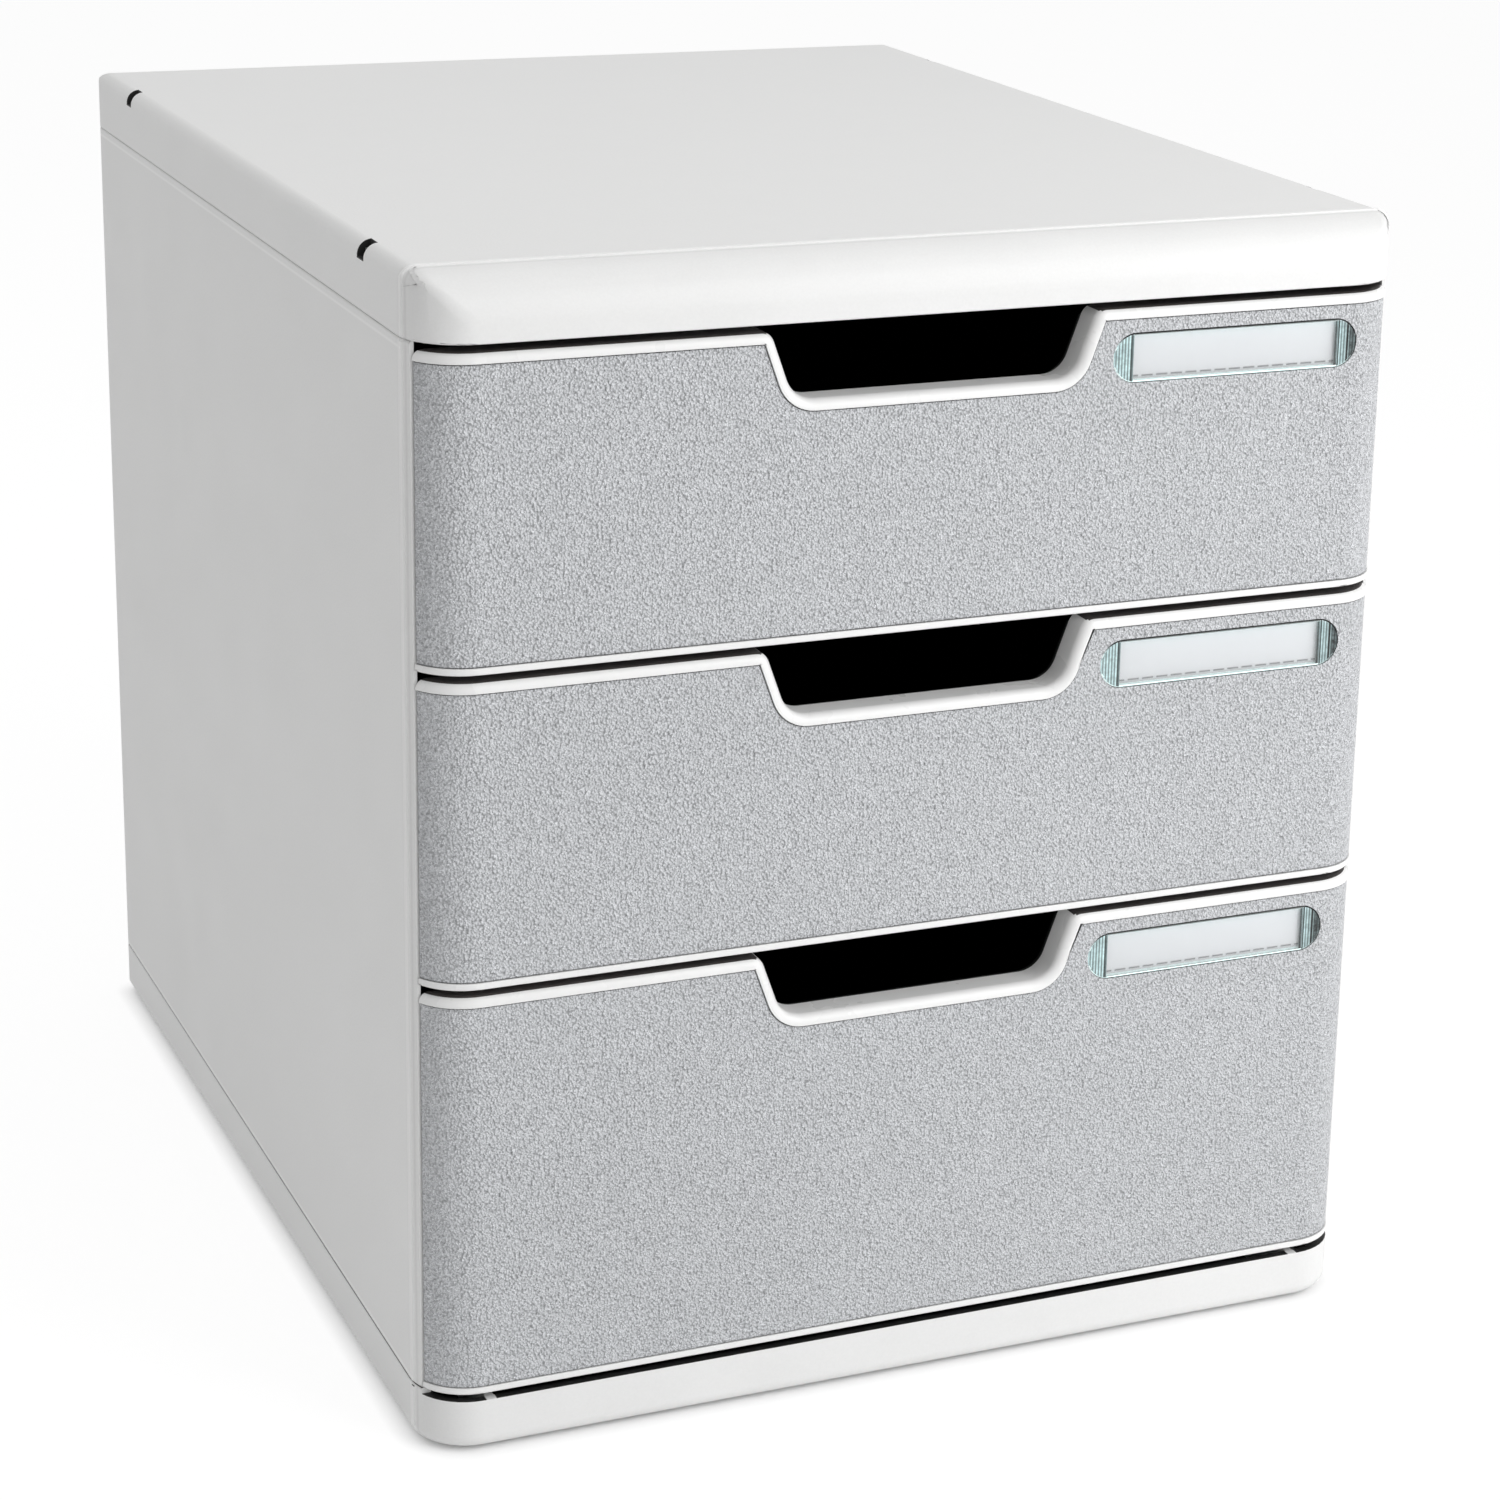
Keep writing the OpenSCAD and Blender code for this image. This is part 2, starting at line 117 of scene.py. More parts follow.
# Least upward part of a normal that faces up, and what is left of the tone where shade is painted
FACING_UP = 0.7
PAINTED_SHADE_TONE = 0.02
# Reach of the painted shade in the hairline round the plates
HAIRLINE_SHADE_REACH = 0.001

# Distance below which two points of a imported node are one, and the bend that is still flat
SAME_POINT = 1e-6
STILL_FLAT = radians(0.2)
# The bend from which an edge is rounded, and the one up to which the windows are shaded smooth
SHARP = radians(32)
WINDOW_SMOOTH = radians(35)
# Segments of an edge's rounding, and how much more a large face counts for its corners' normals
EDGE_SEGMENTS = 2
EVEN_WEIGHT = 90
# Least upward part of the normal in the rim rounding's two upper bands
UPPER_BANDS = 0.85

WINDOW_CORNERS = 56
GRIP_CORNERS = 16
# How far a grip rib stands out and how far its ends are rounded, as shares of its radius
GRIP_FLATNESS = 0.35
GRIP_ROUNDING = 0.3

WHITE = (1, 1, 1, 1)
FLOOR_SIZE = 12
FLOOR_GREY = (0.93, 0.93, 0.93, 1)
OCCLUSION_SAMPLES = 8
# Each lamp's place, what it is aimed at and its width
LAMPS = {
    "key": ((0.62, -0.85, 0.72), (0, -0.1, 0.15), 0.8),
    "top": ((-0.2, 0.1, 1.9), (0, 0, 0.3), 1.6),
    "fill": ((0.32, -0.75, 0.05), (0.05, -0.17, 0.08), 0.3),
}


# ---- settings ----

class FILEDRAWER_PG_plastics(bpy.types.PropertyGroup):
    """Colours and textures of the moulded parts."""

    shell_colour: bpy.props.FloatVectorProperty(
        name="Shell", description="Colour of the casing's shells", subtype="COLOR",
        default=(0.80, 0.80, 0.795))
    rim_colour: bpy.props.FloatVectorProperty(
        name="Rim", description="Colour of the drawer bezels", subtype="COLOR", default=(0.84, 0.84, 0.835))
    plate_colour: bpy.props.FloatVectorProperty(
        name="Plate", description="Colour of the grained front plates", subtype="COLOR",
        default=(0.555, 0.565, 0.585))
    tray_colour: bpy.props.FloatVectorProperty(
        name="Tray", description="Colour of the drawer trays", subtype="COLOR", default=(0.012, 0.012, 0.013))
    # Painted shade: the flange's dark colour stands for the shade under the cover on the bezels' white top
    flange_shade_colour: bpy.props.FloatVectorProperty(
        name="Flange", description="Colour of the flange behind the bezels' lips", subtype="COLOR",
        default=(0.045, 0.04, 0.039))
    runner_colour: bpy.props.FloatVectorProperty(
        name="Runner", description="Colour of the runners", subtype="COLOR", default=(0.62, 0.63, 0.63))
    foot_colour: bpy.props.FloatVectorProperty(
        name="Feet", description="Colour of the rubber feet", subtype="COLOR", default=(0.05, 0.05, 0.052))
    shell_grain: bpy.props.FloatProperty(
        name="Shell grain", description="Pitch of the casing's fine texture", unit="LENGTH", default=0.0007)
    plate_grain: bpy.props.FloatProperty(
        name="Plate grain", description="Pitch of the plates' pebble grain", unit="LENGTH", default=0.00068)


class FILEDRAWER_PG_shapes(bpy.types.PropertyGroup):
    """Roundings of the moulded parts."""

    edge_rounding: bpy.props.FloatProperty(
        name="Edge rounding", description="Rounding of the moulded edges", unit="LENGTH", default=0.00018)
    rim_rounding: bpy.props.FloatProperty(
        name="Rim rounding", description="Rounding of the bezels' top edge and cut-out", unit="LENGTH",
        default=0.0026)
    nose_blend: bpy.props.FloatProperty(
        name="Nose blend", description="Width of the blend where the nose meets the front corners",
        unit="LENGTH", default=0.002)


class FILEDRAWER_PG_label(bpy.types.PropertyGroup):
    """Sizes and colours of the label windows and cards."""

    card_length: bpy.props.FloatProperty(
        name="Card length", description="Length of the label card", unit="LENGTH", default=0.062)
    rib_pitch: bpy.props.FloatProperty(
        name="Rib pitch", description="Distance between the grip ribs", unit="LENGTH", default=0.0009)
    rib_radius: bpy.props.FloatProperty(
        name="Rib radius", description="Radius of a grip rib", unit="LENGTH", default=0.0004)
    rib_count: bpy.props.IntProperty(
        name="Ribs", description="Number of grip ribs at each end", default=5, min=0, max=6)
    groove_width: bpy.props.FloatProperty(
        name="Groove width", description="Width of the groove beside the card", unit="LENGTH", default=0.0013)
    edge_width: bpy.props.FloatProperty(
        name="Edge width", description="Width of the window's bevelled edge", unit="LENGTH", default=0.0005)
    strip_width: bpy.props.FloatProperty(
        name="Strip width", description="Width of the bright strips inside the bevelled edge", unit="LENGTH",
        default=0.00015)
    dash_length: bpy.props.FloatProperty(
        name="Dash length", description="Length of one cut of the card's perforation", unit="LENGTH",
        default=0.0034)
    dash_pitch: bpy.props.FloatProperty(
        name="Dash pitch", description="Distance from one cut to the next", unit="LENGTH", default=0.0044)
    dash_up: bpy.props.FloatProperty(
        name="Dash height", description="Height of the perforation above the card's lower edge",
        unit="LENGTH", default=0.00085)
    tint: bpy.props.FloatVectorProperty(
        name="Tint", description="Colour of the window's ribbed ends", subtype="COLOR",
        default=(0.40, 0.53, 0.54))
    # Also the colour of the painted glow on the window's edges
    edge_tint: bpy.props.FloatVectorProperty(
        name="Edge tint", description="Colour of the window's bright edges", subtype="COLOR",
        default=(0.80, 0.95, 0.94))
    clear_cover: bpy.props.FloatProperty(
        name="Clear cover", description="How much the clear middle hides the card", subtype="FACTOR",
        default=0.1, min=0, max=1)
    card_colour: bpy.props.FloatVectorProperty(
        name="Card", description="Colour of the label card", subtype="COLOR", default=(0.69, 0.70, 0.722))


class FILEDRAWER_PG_studio(bpy.types.PropertyGroup):
    """Camera, lamps and floor."""

    azimuth: bpy.props.FloatProperty(
        name="Azimuth", description="Camera's bearing, 0 looks along +Y", subtype="ANGLE",
        default=radians(-23.661))
    elevation: bpy.props.FloatProperty(
        name="Elevation", description="Camera's height angle", subtype="ANGLE", default=radians(16.252))
    roll: bpy.props.FloatProperty(
        name="Roll", description="Camera's roll", subtype="ANGLE", default=radians(1.32))
    distance: bpy.props.FloatProperty(
        name="Distance", description="From the camera to its target", unit="LENGTH", default=1.15623)
    target: bpy.props.FloatVectorProperty(
        name="Target", description="Point on the camera's axis", unit="LENGTH",
        default=(0.04896, -0.01243, 0.17509))
    lens: bpy.props.FloatProperty(
        name="Lens", description="Focal length in millimetres on a 36 mm sensor", default=89.3)
    shift: bpy.props.FloatVectorProperty(
        name="Shift", description="Camera's shift, as shares of the frame", size=2, default=(-0.0667, -0.1))
    ambient: bpy.props.FloatProperty(
        name="Ambient", description="Strength of the even light", default=0.485)
    key_power: bpy.props.FloatProperty(
        name="Key", description="Power of the key lamp", subtype="POWER", default=6.5)
    top_power: bpy.props.FloatProperty(
        name="Top", description="Power of the top lamp", subtype="POWER", default=6.0)
    fill_power: bpy.props.FloatProperty(
        name="Fill", description="Power of the low lamp in front", subtype="POWER", default=0.95)
    floor_shade: bpy.props.FloatProperty(
        name="Floor shade", description="Share of the floor's own shading that the camera sees",
        subtype="FACTOR", default=0.25, min=0, max=1)
    floor_white: bpy.props.FloatProperty(
        name="Floor white", description="Strength of the floor's white, which makes up for its shading",
        default=1.13)
    contact: bpy.props.FloatProperty(
        name="Contact", description="Reach of the dark shadow under the object's edges", unit="LENGTH",
        default=0.006)


GROUPS = {
    "filedrawer_plastics": FILEDRAWER_PG_plastics,
    "filedrawer_shapes": FILEDRAWER_PG_shapes,
    "filedrawer_label": FILEDRAWER_PG_label,
    "filedrawer_studio": FILEDRAWER_PG_studio,
}


# ---- finishes ----

def add_node(tree, kind, inputs=(), **settings):
    """Adds a node; inputs pairs a socket's name or number with a value or another socket."""
    made = tree.nodes.new(kind)
    for name, value in settings.items():
        setattr(made, name, value)
    for socket, value in dict(inputs).items():
        if isinstance(value, bpy.types.NodeSocket):
            tree.links.new(value, made.inputs[socket])
        else:
            made.inputs[socket].default_value = value
    return made


def open_share(tree, reach):
    """1 on open surfaces, falling where others stand closer than the reach."""
    return add_node(
        tree, "ShaderNodeAmbientOcclusion", {"Distance": reach}, samples=OCCLUSION_SAMPLES).outputs["AO"]


class Finish:
    """A procedural material: one Principled shader and the texture nodes that feed it."""

    def __init__(self, name, colour, roughness, **sockets):
        self.material = bpy.data.materials.new(name)
        self.material.use_nodes = True
        self.tree = self.material.node_tree
        self.shader = self.tree.nodes["Principled BSDF"]
        self.shader.inputs["Base Color"].default_value = (*colour, 1)
        self.shader.inputs["Roughness"].default_value = roughness
        for socket, value in sockets.items():
            self.shader.inputs[socket.replace("_", " ")].default_value = value
        self.place = self.node("ShaderNodeTexCoord").outputs["Object"]

    def node(self, kind, inputs=(), **settings):
        return add_node(self.tree, kind, inputs, **settings)

    def maths(self, operation, *values, clamp=False):
        made = self.node("ShaderNodeMath", dict(enumerate(values)), operation=operation, use_clamp=clamp)
        return made.outputs[0]

    def product(self, first, *others):
        for other in others:
            first = self.maths("MULTIPLY", first, other)
        return first

    def largest(self, first, *others):
        for other in others:
            first = self.maths("MAXIMUM", first, other)
        return first

    def axes(self, vector=None):
        """X, Y and Z of the vector, or of the place on the object."""
        return self.node("ShaderNodeSeparateXYZ", {0: vector or self.place}).outputs

    def normal(self, kind):
        """X, Y and Z of the smooth Normal or of the face's own True Normal."""
        return self.axes(self.node("ShaderNodeNewGeometry").outputs[kind])

    def noise(self, pitch, detail=2.0, roughness=0.5, place=None):
        made = self.node("ShaderNodeTexNoise", {
            "Vector": place or self.place, "Scale": 1 / pitch, "Detail": detail, "Roughness": roughness})
        return made.outputs["Fac"]

    def pebbles(self, pitch, smoothness=0.6):
        made = self.node("ShaderNodeTexVoronoi", {
            "Vector": self.place, "Scale": 1 / pitch, "Smoothness": smoothness}, feature="SMOOTH_F1")
        return made.outputs["Distance"]

    def spread(self, value, across, onto):
        """Takes the first span of values onto the second one."""
        (low, high), (to_low, to_high) = across, onto
        made = self.node("ShaderNodeMapRange", {
            "Value": value, "From Min": low, "From Max": high, "To Min": to_low, "To Max": to_high})
        return made.outputs["Result"]

    def vary(self, noise, low, high):
        """A value that follows a noise between the two limits."""
        return self.spread(noise, NOISE_SPAN, (low, high))

    def line(self, value, centre, half_width):
        """1 on a line where the value is at the centre, falling to 0 at its half width."""
        away = self.maths("ABSOLUTE", self.maths("SUBTRACT", value, centre))
        return self.maths("SUBTRACT", 1.0, self.maths("DIVIDE", away, half_width), clamp=True)

    def band(self, value, centre, half_width):
        """1 where the value is within the half width of the centre, 0 elsewhere."""
        away = self.maths("ABSOLUTE", self.maths("SUBTRACT", value, centre))
        return self.maths("LESS_THAN", away, half_width)

    def shade(self, colour, factor):
        """Makes the base colour the given colour times a factor that varies over the surface."""
        made = self.node("ShaderNodeVectorMath", {0: colour[:3], "Scale": factor}, operation="SCALE")
        self.feed("Base Color", made.outputs[0])

    def bump(self, height, distance):
        made = self.node("ShaderNodeBump", {"Height": height, "Distance": distance, "Strength": 1.0})
        self.feed("Normal", made.outputs["Normal"])

    def feed(self, socket, value):
        self.tree.links.new(value, self.shader.inputs[socket])


def shell_finish(plastics):
    """Light grey moulding with a fine texture behind the bead, painted highlight lines near the seams, the
    front and on the bead, and painted shade in the groove, the seams, the slots and the base's inside.
    """
    finish = Finish("shell_plastic", plastics.shell_colour, 0.42, Specular_IOR_Level=0.4)
    x, y, z = finish.axes()
    off_middle, off_centre = finish.maths("ABSOLUTE", x), finish.maths("ABSOLUTE", y)
    textured = finish.maths("GREATER_THAN", y, BEAD_Y)
    border_highlights = finish.largest(
        finish.line(z, COVER_Z - BORDER_UNDER_COVER, BORDER_HIGHLIGHT_HALF),
        finish.line(z, BASE_Z + BORDER_OVER_BASE, BORDER_HIGHLIGHT_HALF),
        finish.line(y, BEAD_Y + BORDER_BEHIND_FRONT, BORDER_HIGHLIGHT_HALF))
    border_highlights = finish.product(border_highlights, textured, finish.maths("LESS_THAN", z, COVER_Z))
    # Painted shade: dark lines along the seams over and under the side panels
    seam_shade = finish.largest(finish.line(z, COVER_Z, SHADE_LINE_HALF), finish.line(z, BASE_Z, SHADE_LINE_HALF))
    seam_shade = finish.product(seam_shade, finish.maths("GREATER_THAN", y, CASING_FRONT_Y))
    bead_highlight = finish.line(y, BEAD_Y, BEAD_HIGHLIGHT_HALF)
    # Painted shade: a dark line in the groove in front of the bead
    groove = finish.line(y, GROOVE_Y, SHADE_LINE_HALF)
    grain = finish.noise(plastics.shell_grain, detail=3.0, roughness=0.6)
    cloud = finish.noise(0.028, detail=3.0, roughness=0.55)
    tone = finish.maths("ADD", finish.vary(cloud, 0.985, 1.012), finish.vary(grain, -0.015, 0.015))
    # Painted highlights on the border lines and the bead; painted shade in the groove and the seams
    for mark, lighter in ((border_highlights, 0.12), (bead_highlight, 0.16), (groove, -0.1), (seam_shade, -0.12)):
        tone = finish.maths("ADD", tone, finish.product(mark, lighter))
    # Painted shade: the inside of each slot is painted nearly black
    slot_shade = finish.product(
        finish.band(off_centre, SLOT_Y, SLOT_HALF),
        finish.maths("GREATER_THAN", off_middle, SLOT_X),
        finish.maths("GREATER_THAN", z, SLOT_FLOOR))
    # Painted shade: the rail's top and the base's inside, but for its ribs, are painted as dark as they look
    # in shade through the gap
    upward = finish.normal("True Normal")["Z"]
    rib = finish.band(off_middle, BASE_RIB_X, BASE_RIB_HALF)
    inside_shade = finish.product(
        finish.maths("GREATER_THAN", upward, FACING_UP),
        finish.band(z, (INSIDE_HIGH + INSIDE_LOW) / 2, (INSIDE_HIGH - INSIDE_LOW) / 2),
        finish.maths("SUBTRACT", 1.0, rib))
    tone = finish.product(tone, finish.spread(finish.largest(slot_shade, inside_shade), FULL, (1.0, PAINTED_SHADE_TONE)))
    finish.shade(plastics.shell_colour, tone)
    finish.bump(finish.product(grain, textured), distance=0.00006)
    finish.feed("Roughness", finish.vary(cloud, 0.38, 0.48))
    return finish.material


def rim_finish(plastics):
    """Smooth white moulding with a soft gloss."""
    finish = Finish("rim_plastic", plastics.rim_colour, 0.28, Specular_IOR_Level=0.5)
    cloud = finish.noise(0.02, detail=3.0)
    finish.shade(plastics.rim_colour, finish.vary(cloud, 0.99, 1.01))
    finish.bump(finish.noise(0.004), distance=0.00002)
    finish.feed("Roughness", finish.vary(cloud, 0.25, 0.33))
    return finish.material


def plate_finish(plastics):
    """Bluish grey plastic with a pebble grain, with painted shade in the hairline round it."""
    finish = Finish("plate_plastic", plastics.plate_colour, 0.4, Specular_IOR_Level=0.5)
    pebbles = finish.pebbles(plastics.plate_grain)
    creases = finish.noise(plastics.plate_grain * 0.8)
    cloud = finish.noise(0.05)
    height = finish.maths("SUBTRACT", finish.product(creases, 0.8), pebbles)
    tone = finish.maths(
        "ADD", finish.spread(height, (-0.45, 0.2), (0.84, 1.5)), finish.vary(cloud, -0.015, 0.015))
    # Painted shade: the plate is darker where the rim stands close, in the hairline round it
    hairline_shade = finish.spread(open_share(finish.tree, HAIRLINE_SHADE_REACH), (0.5, 0.95), (0.15, 1.0))
    finish.shade(plastics.plate_colour, finish.product(tone, hairline_shade))
    finish.bump(height, distance=0.0011)
    finish.feed("Roughness", finish.spread(height, (-0.5, 0.3), (0.5, 0.36)))
    return finish.material


def tray_finish(name, colour):
    """Black moulding with a fine matt texture."""
    finish = Finish(name, colour, 0.5, Specular_IOR_Level=0.4)
    grain = finish.noise(0.0008, detail=3.0, roughness=0.6)
    cloud = finish.noise(0.03, detail=3.0)
    finish.shade(colour, finish.vary(cloud, 0.85, 1.2))
    finish.bump(grain, distance=0.00007)
    finish.feed("Roughness", finish.vary(cloud, 0.45, 0.58))
    return finish.material


def runner_finish(plastics):
    """Light grey moulding, polished in streaks where the trays slide."""
    finish = Finish("runner_plastic", plastics.runner_colour, 0.4, Specular_IOR_Level=0.5)
    stretched = finish.node("ShaderNodeMapping", {"Vector": finish.place, "Scale": (1.0, 0.02, 1.0)})
    streaks = finish.noise(0.0015, place=stretched.outputs[0])
    finish.shade(plastics.runner_colour, finish.vary(streaks, 0.94, 1.03))
    finish.bump(streaks, distance=0.00003)
    finish.feed("Roughness", finish.vary(streaks, 0.3, 0.5))
    return finish.material


def foot_finish(plastics):
    """Dark rubber with a dusty bloom."""
    finish = Finish("foot_rubber", plastics.foot_colour, 0.8, Specular_IOR_Level=0.3)
    dust = finish.noise(0.003, detail=4.0, roughness=0.6)
    finish.shade(plastics.foot_colour, finish.vary(dust, 0.8, 1.5))
    finish.bump(dust, distance=0.00008)
    return finish.material


def card_finish(label):
    """Uncoated card with fibres, and a dashed perforation along its lower edge."""
    finish = Finish("card_paper", label.card_colour, 0.85, Specular_IOR_Level=0.2)
    axes = finish.axes()
    fibres = finish.noise(0.0006, detail=4.0, roughness=0.65)
    # The metre only sets the phase: where along the card a dash begins
    along = finish.maths("ADD", axes["X"], 1.0)
    phase = finish.maths("FRACT", finish.maths("DIVIDE", along, label.dash_pitch))
    cut = finish.maths("LESS_THAN", phase, label.dash_length / label.dash_pitch)
    tone = finish.vary(fibres, 0.97, 1.02)
    for level in LEVELS:
        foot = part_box(level + "_drawer_label_card")[0].z
        row = finish.line(axes["Z"], foot + label.dash_up, DASH_HALF)
        tone = finish.maths("SUBTRACT", tone, finish.product(row, cut, 0.8))
    finish.shade(label.card_colour, tone)
    finish.bump(fibres, distance=0.00002)
    return finish.material


def clear_finish(label):
    """The window's clear middle, which hardly hides the card."""
    finish = Finish("window_clear", (0.93, 0.97, 0.97), 0.05, IOR=1.49, Alpha=label.clear_cover)
    finish.feed("Roughness", finish.vary(finish.noise(0.006), 0.03, 0.09))
    return finish.material


def edge_finish(label):
    """The window's edges: painted light and a painted glow on the lower left ones, painted shade on the upper
    right ones.
    """
    finish = Finish(
        "window_edge_painted_light", label.edge_tint, 0.1, IOR=1.49, Emission_Color=(*label.edge_tint, 1))
    normal = finish.normal("Normal")
    # Painted light: edges that face down and left are made light, those that face up and right dark
    lower_left_painted_light = finish.maths("ADD", finish.product(normal["Z"], -0.8), finish.product(normal["X"], -0.55))
    streaks = finish.noise(0.0012, detail=3.0, roughness=0.6)
    tone = finish.spread(lower_left_painted_light, (-0.3, 0.0), (0.03, 1.0))
    finish.shade(label.edge_tint, finish.product(tone, finish.vary(streaks, 0.85, 1.1)))
    # Painted glow: the lower left edges emit light, though they are no lamp
    finish.feed("Emission Strength", finish.spread(lower_left_painted_light, (-0.1, 0.2), (0.0, 0.6)))
    return finish.material


def ribbed_finish(label):
    """The window's ribbed ends: green, with stripes of painted light and shade for the ribs, a band of
    painted shade beside the card, and painted shade that deepens towards the right end.
    """
    finish = Finish("window_ribbed", label.tint, 0.12, IOR=1.49)
    along = finish.maths("SUBTRACT", finish.axes()["X"], WINDOW_X)
    half_card = label.card_length / 2
    rib_shading_stripes = finish.maths("SINE", finish.product(along, 2 * pi / label.rib_pitch))
    ripple = finish.noise(0.0014, detail=3.0, roughness=0.65)
    # Painted light and shade: the stripes stand for the ribs' lit and shaded sides, and the right end's tone
    # falls as painted shade
    tone = finish.product(
        finish.spread(rib_shading_stripes, (-1.0, 1.0), (0.4, 1.45)),
        finish.vary(ripple, 0.7, 1.3),
        finish.spread(along, (half_card, half_card + SHADE_FALL), (1.0, 0.6)))
    shade_beside_card = finish.largest(
        finish.band(along, -half_card - LEFT_DARK, LEFT_DARK_HALF),
        finish.band(along, half_card + RIGHT_DARK, RIGHT_DARK_HALF))
    right_groove_shade = finish.band(along, half_card + RIGHT_GROOVE, RIGHT_GROOVE_HALF)
    deep_end_shade = finish.product(
        finish.spread(along, (half_card + DEEP_START, half_card + DEEP_END), FULL),
        finish.spread(ripple, (0.35, 0.6), (1.0, 0.72)))
    # Painted shade beside the card, in the right groove and deep in the right end
    painted_shade = finish.largest(finish.product(shade_beside_card, 0.85), right_groove_shade, deep_end_shade)
    finish.shade(label.tint, finish.product(tone, finish.spread(painted_shade, FULL, (1.0, 0.07))))
    finish.feed("Roughness", finish.vary(ripple, 0.08, 0.2))
    return finish.material


# ---- modelling helpers ----

def deselect_all():
    """Back to object mode with nothing selected."""
    if bpy.context.object and bpy.context.object.mode != "OBJECT":
        bpy.ops.object.mode_set(mode="OBJECT")
    bpy.ops.object.select_all(action="DESELECT")


def edit_all():
    """Edit mode with everything selected."""
    bpy.ops.object.mode_set(mode="EDIT")
    bpy.ops.mesh.select_all(action="SELECT")


def settle(piece, name):
    """Names the piece and puts its place, turn and scale into its mesh."""
    deselect_all()
    piece.name = name
    piece.select_set(True)
    bpy.context.view_layer.objects.active = piece
    bpy.ops.object.transform_apply(location=True, rotation=True, scale=True)


def select_only(piece, kind, parts_of, chosen):
    """Selects the chosen parts of a mesh in edit mode; kind is VERT or EDGE."""
    edited = bmesh.from_edit_mesh(piece.data)
    edited.select_mode = {kind}
    for face in edited.faces:
        face.select_set(False)
    for part in parts_of(edited):
        part.select_set(False)
    for part in parts_of(edited):
        if chosen(part):
            part.select_set(True)
    edited.select_flush_mode()
    bmesh.update_edit_mesh(piece.data)


def select_edges(piece, test):
    """Selects the edges whose middle and two faces pass the test, in one order or the other."""

    def passes(edge):
        first, second = edge.link_faces
        middle = (edge.verts[0].co + edge.verts[1].co) / 2
        return test(middle, first.normal, second.normal) or test(middle, second.normal, first.normal)

    select_only(piece, "EDGE", lambda edited: edited.edges, passes)


def remodel(node, name):
    """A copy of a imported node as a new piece, in edit mode, its triangles joined into whole faces."""
    deselect_all()
    piece = bpy.data.objects.new(name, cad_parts[node].data.copy())
    bpy.context.scene.collection.objects.link(piece)
    piece.select_set(True)
    bpy.context.view_layer.objects.active = piece
    bpy.ops.mesh.customdata_custom_splitnormals_clear()
    edit_all()
    bpy.ops.mesh.remove_doubles(threshold=SAME_POINT)
    bpy.ops.mesh.dissolve_limited(angle_limit=STILL_FLAT)
    return piece


def paint(piece, materials, choose):
    """Gives the piece its materials, and each face the one that choose says."""
    piece.data.materials.clear()
    for material in materials:
        piece.data.materials.append(material)
    for face in piece.data.polygons:
        face.material_index = choose(face)


def soften(piece, rounding):
    """Rounds the sharp edges and shades what they join evenly."""
    edges = piece.modifiers.new("edges", "BEVEL")
    edges.width = rounding
    edges.segments = EDGE_SEGMENTS
    edges.limit_method = "ANGLE"
    edges.angle_limit = SHARP
    edges.use_clamp_overlap = False
    even = piece.modifiers.new("even", "WEIGHTED_NORMAL")
    even.weight = EVEN_WEIGHT
    even.keep_sharp = False


def dress(name, material, rounding=0.0):
    """Gives a CAD node its finish and rounds its moulded edges."""
    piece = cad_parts[name]
    piece.data.materials.clear()
    piece.data.materials.append(material)
    if rounding:
        weld = piece.modifiers.new("weld", "WELD")
        weld.merge_threshold = SAME_POINT
        planar = piece.modifiers.new("planar", "DECIMATE")
        planar.decimate_type = "DISSOLVE"
        planar.angle_limit = STILL_FLAT
        soften(piece, rounding)


def complete(piece, materials, choose, rounding, body, node):
    """Finishes a remodelled node: smooth shading, edges, paint, and its place in the frame."""
    bpy.ops.object.mode_set(mode="OBJECT")
    bpy.ops.object.shade_smooth()
    paint(piece, materials, choose)
    soften(piece, rounding)
    bpy.ops.object.modifier_apply(modifier="edges")
    # Where thin faces meet, the rounding overshoots: those points go back to the node's box
    low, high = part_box(node)
    for vertex in piece.data.vertices:
        vertex.co = [min(max(place, least), most) for place, least, most in zip(vertex.co, low, high)]
    bpy.ops.object.modifier_apply(modifier="even")
    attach(piece, body)
    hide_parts(node)


# ---- operators ----

class FILEDRAWER_OT_casing(bpy.types.Operator):
    """Finish the casing's shells, runners and feet"""

    bl_idname = "filedrawer.casing"
    bl_label = "Casing"

    def execute(self, context):
        plastics = context.scene.filedrawer_plastics
        rounding = context.scene.filedrawer_shapes.edge_rounding
        shell = shell_finish(plastics)
        for name in SHELL_NODES:
            dress(name, shell, rounding)
        self.cover(shell, context.scene.filedrawer_shapes)
        runner = runner_finish(plastics)
        for level in LEVELS:
            for side in SIDES:
                dress(f"{level}_{side}_runner", runner, rounding)
        dress("rubber_feet", foot_finish(plastics), rounding)
        return {"FINISHED"}

    def cover(self, shell, shapes):
        """The top cover, with a soft blend where its nose meets the rounded front corners."""
        cover = remodel("top_cover", "cover_shell")
        nose_end = BEAD_Y - BEAD_WIDTH / 2 - 0.0001

        def on_crease(middle, nose, corner):
            # The nose's faces look forward and up, the corners' ones sideways and not down
            of_nose = abs(nose.x) < 0.01 and nose.y < -0.02 and 0.1 < nose.z < 0.995
            return of_nose and abs(corner.x) > 0.12 and corner.z > -0.01 and middle.y < nose_end

        select_edges(cover, on_crease)
        bpy.ops.mesh.bevel(offset=shapes.nose_blend, segments=5, profile=0.5, clamp_overlap=False)
        complete(cover, [shell], lambda face: 0, shapes.edge_rounding, "casing", "top_cover")


